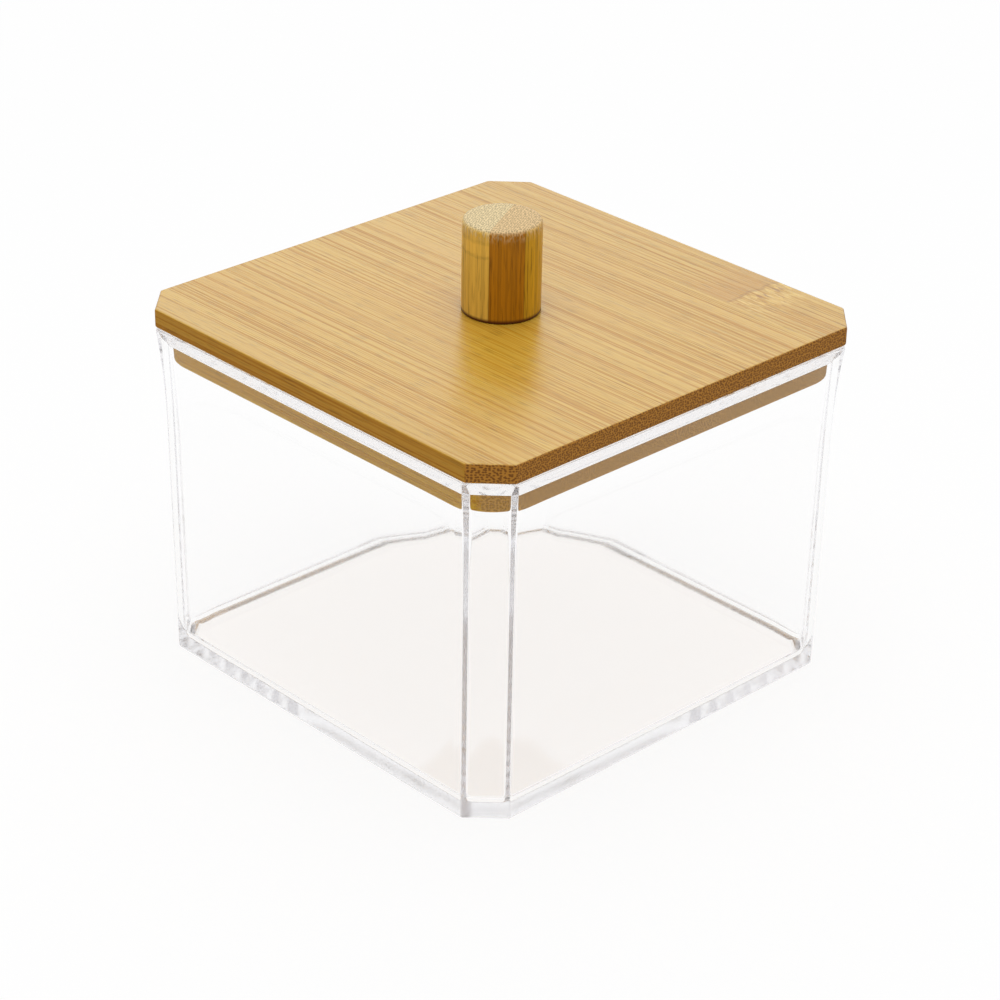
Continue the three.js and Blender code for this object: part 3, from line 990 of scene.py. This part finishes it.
LID_SETBACK = 0.23 * MM
lid_side = TUB_FOOT_SIDE + 2 * (FLARE_TOP * WALL_LEAN + RIM_REACH - LID_SETBACK)
top_board = sweep(
    "bamboo_top_board",
    board_section(
        TUB_HEIGHT, LID_THICKNESS, corner=0.7 * MM, under_round=0.7 * MM, top_round=0.4 * MM
    ),
    plain_ring(steps=8),
    bamboo_board,
    lid_side,
)
PLUG_PLAY = 0.6 * MM
PLUG_INSET = WALL + PLUG_PLAY
plug_side = TUB_FOOT_SIDE + 2 * (PLUG_FOOT * WALL_LEAN - PLUG_INSET)
lower_board = sweep(
    "bamboo_lower_board",
    board_section(
        PLUG_FOOT, PLUG_THICKNESS, corner=7.4 * MM, under_round=0.6 * MM, top_round=0.15 * MM
    ),
    plain_ring(steps=12),
    bamboo_board,
    plug_side,
    cut=CORNER_CUT - CUT_PER_REACH * PLUG_INSET,
)
for board in (top_board, lower_board):
    cut_away(board, screw_passage())
    smooth_rounds(board)
    mark_faces(board, "end_grain", 1, soft=END_FACES)
    mark_faces(board, "flat_face", 2)
    print(board.name, len(board.data.polygons), "faces")

# %% [markdown]
# ## The knob
# A dowel with a soft top edge and a hardly broken lower one. The screw's pilot hole goes up
# its middle and ends in a drill point.

# %% Make the knob
KNOB_RADIUS = 15.4 / 2 * MM
KNOB_SIDES = 128
KNOB_FOOT_ROUND = 0.3 * MM
KNOB_TOP_ROUND = 1 * MM
KNOB_END_FACES = (0.25, 0.85)


def knob_profile():
    """Radius and height, up the pilot hole's wall and round the outside to the top."""
    bore = SCREW_THREAD_RADIUS + SEAT_GAP
    points = [(0, PILOT_END), (bore, PILOT_END - bore), (bore, LID_TOP)]
    for rise, inset in quarter_round(KNOB_FOOT_ROUND, 6):
        points.append((KNOB_RADIUS - inset, LID_TOP + rise))
    for rise, inset in reversed(quarter_round(KNOB_TOP_ROUND, 12)):
        points.append((KNOB_RADIUS - inset, KNOB_TOP - rise))
    return points + [(0, KNOB_TOP)]


knob = turned("bamboo_dowel_knob", knob_profile(), KNOB_SIDES, bamboo_knob)
mark_faces(knob, "end_grain", 2, soft=KNOB_END_FACES)
smooth_rounds(knob)
print(knob.name, len(knob.data.polygons), "faces")

# %% [markdown]
# ## The screw
# Its body is turned: head, cone, shank, core and point. The thread is a triangle carried along
# a spiral, which Geometry Nodes does with Spiral and Curve to Mesh. Its Scale input brings the
# triangle down to almost nothing at both ends, as a rolled thread runs out. The cross in the
# head is cut before the thread is joined on.

# %% Make the screw
SHANK_RADIUS = 2.8 / 2 * MM
CORE_RADIUS = 2.3 / 2 * MM
PITCH = 1.6 * MM
THREADED_LENGTH = 14 * MM
THREAD_START = SCREW_TIP - THREADED_LENGTH
THREAD_HALF_WIDTH = 0.4 * MM
POINT_LENGTH = 3 * MM
THREAD_ROOT = CORE_RADIUS - 0.2 * MM
THREAD_STEPS = 32
THINNEST_RIDGE = 0.02
HEAD_EDGE = 0.08 * MM
RECESS_SIZE = (3.8 * MM, 1 * MM, 3.2 * MM)
RECESS_TAPER = (0.55, 0.8)


def build_thread_tree():
    """A ridge carried along a spiral, which fades out over one turn at each end."""
    tree = bpy.data.node_groups.new("Screw thread", "GeometryNodeTree")
    tree_socket(tree, "Ridge", "NodeSocketGeometry")
    tree_socket(tree, "Turns", "NodeSocketFloat", default=7.0)
    tree_socket(tree, "Length", "NodeSocketFloat", default=0.01)
    tree_socket(tree, "Start", "NodeSocketFloat", default=0.0)
    tree_socket(tree, "Root Radius", "NodeSocketFloat", default=0.001)
    tree_socket(tree, "Material", "NodeSocketMaterial")
    tree_socket(tree, "Thread", "NodeSocketGeometry", "OUTPUT")
    given = put(tree, "NodeGroupInput").outputs
    spiral = put(
        tree,
        "GeometryNodeCurveSpiral",
        {
            "Resolution": THREAD_STEPS,
            "Rotations": given["Turns"],
            "Start Radius": given["Root Radius"],
            "End Radius": given["Root Radius"],
            "Height": given["Length"],
        },
    )
    along = put(tree, "GeometryNodeSplineParameter").outputs["Factor"]
    from_start = calc(tree, "MULTIPLY", along, given["Turns"])
    from_end = calc(tree, "SUBTRACT", given["Turns"], from_start)
    fade = calc(tree, "MINIMUM", calc(tree, "MINIMUM", from_start, from_end), 1.0)
    fade = calc(tree, "MAXIMUM", fade, THINNEST_RIDGE)
    inputs = {"Curve": spiral.outputs[0]}
    upright = put(tree, "GeometryNodeSetCurveNormal", inputs, mode="Z_UP").outputs[0]
    ridge = put(tree, "GeometryNodeMeshToCurve", {"Mesh": given["Ridge"]}).outputs[0]
    inputs = {"Curve": upright, "Profile Curve": ridge, "Scale": fade, "Fill Caps": True}
    swept = put(tree, "GeometryNodeCurveToMesh", inputs)
    inputs = {"Geometry": swept.outputs[0], "Offset": join(tree, 0.0, 0.0, given["Start"])}
    placed = put(tree, "GeometryNodeSetPosition", inputs)
    whole = put(tree, "GeometryNodeRealizeInstances", {"Geometry": placed.outputs[0]})
    inputs = {"Geometry": whole.outputs[0], "Material": given["Material"]}
    finished = put(tree, "GeometryNodeSetMaterial", inputs).outputs[0]
    put(tree, "NodeGroupOutput", {"Thread": finished})
    return tree


def screw_thread():
    """The thread as a piece of its own, before it joins the screw's mesh."""
    start = THREAD_START + PITCH
    length = SCREW_TIP - POINT_LENGTH / 2 - start
    depth = SCREW_THREAD_RADIUS - THREAD_ROOT
    corners = [(0, -THREAD_HALF_WIDTH, 0), (-depth, 0, 0), (0, THREAD_HALF_WIDTH, 0)]
    mesh = bpy.data.meshes.new("thread section")
    mesh.from_pydata(corners, [(0, 1), (1, 2), (2, 0)], [])
    piece = new_piece("thread", mesh)
    modifier = piece.modifiers.new("thread", "NODES")
    modifier.node_group = build_thread_tree()
    sizes = {"Turns": length / PITCH, "Length": length, "Start": start}
    set_inputs(modifier, {**sizes, "Root Radius": THREAD_ROOT, "Material": screw_steel})
    settle(piece)
    face_outwards(piece.data)
    return piece


def recess_bar(turn):
    """One bar of the cross in the head, narrower at the bottom of the recess."""
    work = bmesh.new()
    bar = bmesh.ops.create_cube(work, size=1)["verts"]
    bmesh.ops.scale(work, verts=bar, vec=RECESS_SIZE)
    for vert in bar:
        if vert.co.z > 0:
            vert.co.x *= RECESS_TAPER[0]
            vert.co.y *= RECESS_TAPER[1]
    bmesh.ops.rotate(work, verts=bar, matrix=Matrix.Rotation(turn, 3, "Z"))
    bmesh.ops.translate(work, verts=bar, vec=(0, 0, SCREW_FACE))
    mesh = bpy.data.meshes.new("recess bar")
    work.to_mesh(mesh)
    work.free()
    return new_piece("recess bar", mesh)


def screw_profile():
    """Radius and height from the middle of the head's face to the tip of the point."""
    neck = SCREW_FACE + SCREW_HEAD_RIM + SCREW_HEAD_RADIUS - SHANK_RADIUS
    return [
        (0, SCREW_FACE),
        (SCREW_HEAD_RADIUS - HEAD_EDGE, SCREW_FACE),
        (SCREW_HEAD_RADIUS, SCREW_FACE + HEAD_EDGE),
        (SCREW_HEAD_RADIUS, SCREW_FACE + SCREW_HEAD_RIM),
        (SHANK_RADIUS, neck),
        (SHANK_RADIUS, THREAD_START),
        (CORE_RADIUS, THREAD_START + SHANK_RADIUS - CORE_RADIUS),
        (CORE_RADIUS, SCREW_TIP - POINT_LENGTH),
        (0, SCREW_TIP),
    ]


screw = turned("steel_knob_screw", screw_profile(), SCREW_SIDES, screw_steel)
for turn in (0, pi / 2):
    cut_away(screw, recess_bar(turn))
thread = screw_thread()
work = bmesh.new()
work.from_mesh(screw.data)
work.from_mesh(thread.data)
work.to_mesh(screw.data)
work.free()
bpy.data.objects.remove(thread)
print(screw.name, len(screw.data.polygons), "faces")

# %% [markdown]
# ## Each piece takes its place
# A new piece stands for the CAD piece of the same kind, and rides on the same body, so that
# the lid's four pieces lift off together.

# %% Pieces on their bodies
for piece, node, body, finish in (
    (tub, "clear_tub", "tub", "clear_plastic"),
    (top_board, "lid_board", "lid", "bamboo_board"),
    (lower_board, "lid_plug_board", "lid", "bamboo_board"),
    (knob, "lid_knob", "lid", "bamboo_knob"),
    (screw, "knob_screw", "lid", "screw_steel"),
):
    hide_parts(node)
    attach(piece, body)
    print(piece.name, "stands for", node)

# %% [markdown]
# ## Floor and backdrop
# A photograph of goods for sale is taken on a white sweep. Here the floor is one big plane. It
# is partly a matt white surface, which takes the object's soft shadow, and partly a white glow
# that only the camera, reflections and clear plastic see, so that the floor looks white without
# more light on the object. The glow takes over further out, and the world behind is the same
# white, so no horizon shows.

# %% Make the floor
FLOOR_HALF = 6.0
FLOOR_DROP = 0.05 * MM
FLOOR_GLOW_NEAR = 0.86
FLOOR_GLOW_FROM = 0.2
FLOOR_GLOW_FULL = 0.9
PAPER = (0.95, 0.95, 0.95, 1)
PAPER_DARKER = (0.93, 0.93, 0.93, 1)
WHITE = (1, 1, 1, 1)


def looked_at(tree, path):
    """1 where the camera, a reflection or the clear plastic looks, and 0 for soft light."""
    seen = calc(tree, "MAXIMUM", path["Is Camera Ray"], path["Is Glossy Ray"])
    return calc(tree, "MAXIMUM", seen, path["Is Transmission Ray"])


def build_floor_material():
    material, tree = new_material("pale floor")
    place = on_object(tree)
    distance = put(tree, "ShaderNodeVectorMath", {0: place}, operation="LENGTH").outputs["Value"]
    glow_share = fit(tree, distance, FLOOR_GLOW_FROM, FLOOR_GLOW_FULL, FLOOR_GLOW_NEAR, 1.0)
    seen = looked_at(tree, put(tree, "ShaderNodeLightPath").outputs)
    share = calc(tree, "MULTIPLY", seen, glow_share)
    inputs = {"Vector": place, "Scale": 400.0, "Detail": 2.0}
    grain = put(tree, "ShaderNodeTexNoise", inputs).outputs[0]
    paper = blend_colour(tree, grain, PAPER, PAPER_DARKER)
    matt = put(tree, "ShaderNodeBsdfDiffuse", {"Color": paper})
    glow = put(tree, "ShaderNodeEmission", {"Color": WHITE, "Strength": 1.0})
    mixed = put(tree, "ShaderNodeMixShader", {0: share, 1: matt.outputs[0], 2: glow.outputs[0]})
    put(tree, "ShaderNodeOutputMaterial", {"Surface": mixed.outputs[0]})
    material.cycles.emission_sampling = "NONE"
    return material


floor_mesh = bpy.data.meshes.new("floor")
floor_corners = [
    (x * FLOOR_HALF, y * FLOOR_HALF, -FLOOR_DROP) for x, y in ((-1, -1), (1, -1), (1, 1), (-1, 1))
]
floor_mesh.from_pydata(floor_corners, [], [(0, 1, 2, 3)])
floor_mesh.materials.append(build_floor_material())
floor = new_piece("floor", floor_mesh)
print("Floor made")

# %% [markdown]
# ## Light
# The world gives even light from everywhere, and one large softbox overhead gives the top of
# the lid its level. A second softbox stands behind the object: its reflection lies over the
# lacquered lid as a pale veil, which the knob interrupts with its own golden reflection.
# A lamp's power is worked out from how bright its face should look, which is easier to judge.
# To the camera, to reflections and through clear plastic the world is plain white, unless a
# matt surface has scattered the light on its way. Otherwise it shines at a lower level.

# %% World and lamps
WORLD_LIGHT = 0.56


def build_world():
    """White where it is looked at, and dimmer where it only lights the object."""
    world = bpy.data.worlds.new("white studio")
    bpy.context.scene.world = world
    world.use_nodes = True
    tree = world.node_tree
    tree.nodes.clear()
    path = put(tree, "ShaderNodeLightPath").outputs
    unscattered = calc(tree, "LESS_THAN", path["Diffuse Depth"], 0.5)
    share = calc(tree, "MULTIPLY", looked_at(tree, path), unscattered)
    level = calc(tree, "MULTIPLY_ADD", share, 1.0 - WORLD_LIGHT, WORLD_LIGHT)
    sky = put(tree, "ShaderNodeBackground", {"Color": WHITE, "Strength": level})
    put(tree, "ShaderNodeOutputWorld", {"Surface": sky.outputs[0]})


def softbox(name, size, brightness, place, aim):
    """A square lamp that faces its aim, as bright to look at as a white of that strength."""
    lamp = bpy.data.lights.new(name, "AREA")
    lamp.size = size
    lamp.energy = brightness * pi * size**2
    box = new_piece(name, lamp)
    box.location = place
    towards = Vector([there - here for there, here in zip(aim, place)])
    box.rotation_euler = towards.to_track_quat("-Z", "Y").to_euler()
    box.visible_camera = False
    box.visible_transmission = False


build_world()
softbox(
    "overhead softbox", size=1.0, brightness=2.0, place=(-0.1, -0.1, 1.1), aim=(0, 0, 0.05)
)
softbox(
    "back softbox", size=1.5, brightness=0.65, place=(0.95, 0.95, 1.15), aim=(0, 0, 0.08)
)
print("Lamps made")

# %% [markdown]
# Light that is mirrored along inside a plastic wall turns many corners before it comes out,
# so the number of bounces has to be high. With the usual limit the edges would go black.

# %% Light bounces
MIRROR_BOUNCES = 256

cycles = bpy.context.scene.cycles
cycles.max_bounces = MIRROR_BOUNCES
cycles.glossy_bounces = MIRROR_BOUNCES
cycles.transmission_bounces = 64
cycles.transparent_max_bounces = 32
bpy.context.scene.view_settings.view_transform = "Standard"
print("Bounces:", cycles.max_bounces)

# %% [markdown]
# ## The camera
# It stands in front of the corner between the -X and -Y sides, a good half metre away, and
# looks down by almost 28 degrees. Its place and angles, in metres and radians, come from
# solving the straight edges of the lid and the tub in perspective.

# %% Make the camera
CAMERA_PLACE = (-0.36665, -0.38118, 0.31105)
CAMERA_DOWN = 0.483357
CAMERA_YAW = 0.803887
CAMERA_ROLL = 0.0185
CAMERA_LENS = 108.34
CAMERA_SENSOR = 36

camera_data = bpy.data.cameras.new("camera")
camera_data.sensor_width = CAMERA_SENSOR
camera_data.lens = CAMERA_LENS
camera = new_piece("camera", camera_data)
upright_turn = Euler((pi / 2 - CAMERA_DOWN, 0, CAMERA_YAW - pi / 2)).to_matrix()
camera_turn = upright_turn @ Matrix.Rotation(CAMERA_ROLL, 3, "Z")
camera.matrix_world = Matrix.Translation(CAMERA_PLACE) @ camera_turn.to_4x4()
bpy.context.scene.camera = camera
print("Camera at", CAMERA_PLACE)
